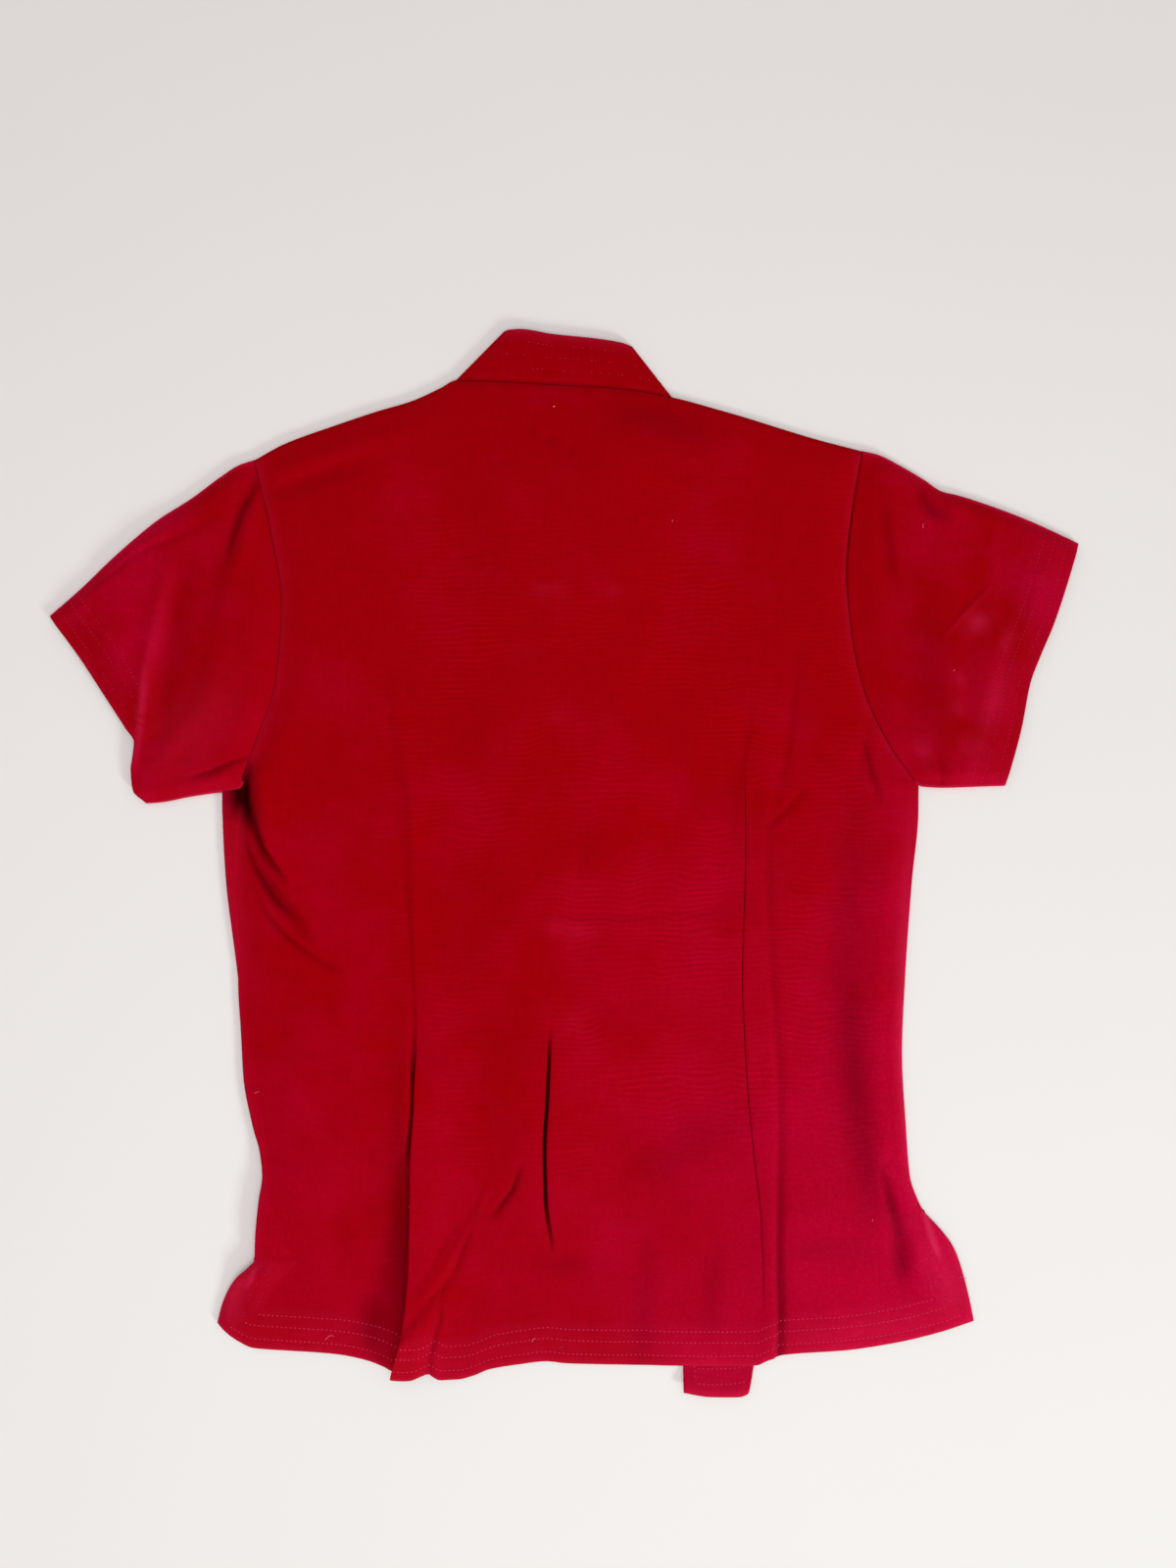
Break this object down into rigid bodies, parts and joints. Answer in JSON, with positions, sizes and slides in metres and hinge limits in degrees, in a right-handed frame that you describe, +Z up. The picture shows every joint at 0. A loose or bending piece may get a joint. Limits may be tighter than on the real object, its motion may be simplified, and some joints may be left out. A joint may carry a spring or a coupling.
{
  "type": "short-sleeved stand-collar blouse, laid flat",
  "caption": "Women's short-sleeved blouse with a stand collar, set-in sleeves, long back darts and side vents, laid face down with its back upwards.",
  "frame": {"origin": "on the surface that the garment lies on, under the middle of its outline", "axes": "+X towards the wearer's right sleeve, +Y towards the collar, +Z up from the surface out of the back"},
  "size_m": [0.7356, 0.7622, 0.011],
  "materials": {
    "cloth": "plain matt red crepe weave",
    "button_plastic": "dark red, satin"
  },
  "bodies": {
    "root": {"back": "cloth", "front_left": "cloth", "front_right": "cloth", "sleeve_left": "cloth", "sleeve_right": "cloth", "collar": "cloth", "button_1": "button_plastic", "button_2": "button_plastic", "button_3": "button_plastic", "button_4": "button_plastic", "button_5": "button_plastic", "button_6": "button_plastic"}
  },
  "joints": []
}
